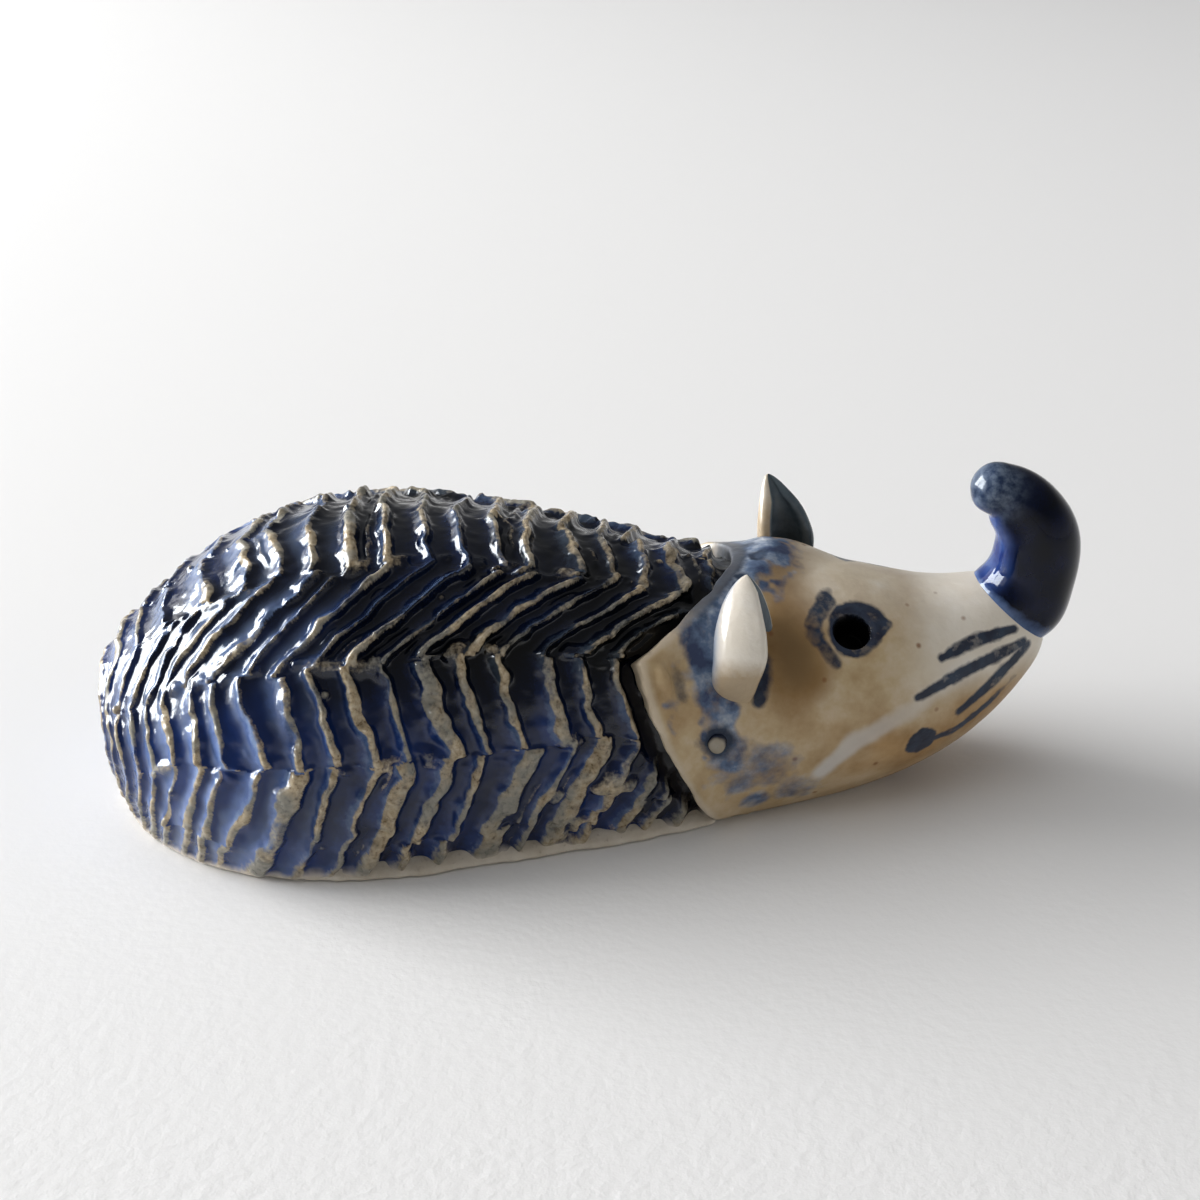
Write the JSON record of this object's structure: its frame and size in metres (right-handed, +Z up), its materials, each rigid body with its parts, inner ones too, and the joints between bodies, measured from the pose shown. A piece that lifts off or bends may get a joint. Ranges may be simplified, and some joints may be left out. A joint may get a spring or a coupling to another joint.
{
  "type": "hedgehog figurine",
  "caption": "Small hand-built stoneware hedgehog with a carved herringbone coat, pierced eyes, cupped ears and an upturned curled nose, standing on a flat base.",
  "frame": {"origin": "under the middle of the whole figure's box, on the face that it rests on", "axes": "+X from the tail to the nose, +Y to the animal's left, +Z up"},
  "size_m": [0.0704, 0.0314, 0.0236],
  "materials": {
    "carved_coat": "glossy cobalt glaze pooled in carved grooves, bare tan ridges",
    "bare_clay": "unglazed, matt, gritty",
    "salt_glazed_clay": "satin salt glaze with fine orange peel and painted blue strokes",
    "cobalt_glaze": "deep glossy cobalt"
  },
  "bodies": {
    "root": {"body_shell": "carved_coat", "base_slab": "bare_clay", "head_shell": "salt_glazed_clay", "nose_curl": "cobalt_glaze", "ear_right": "salt_glazed_clay", "ear_left": "salt_glazed_clay", "cheek_pellet": "salt_glazed_clay"}
  },
  "joints": []
}
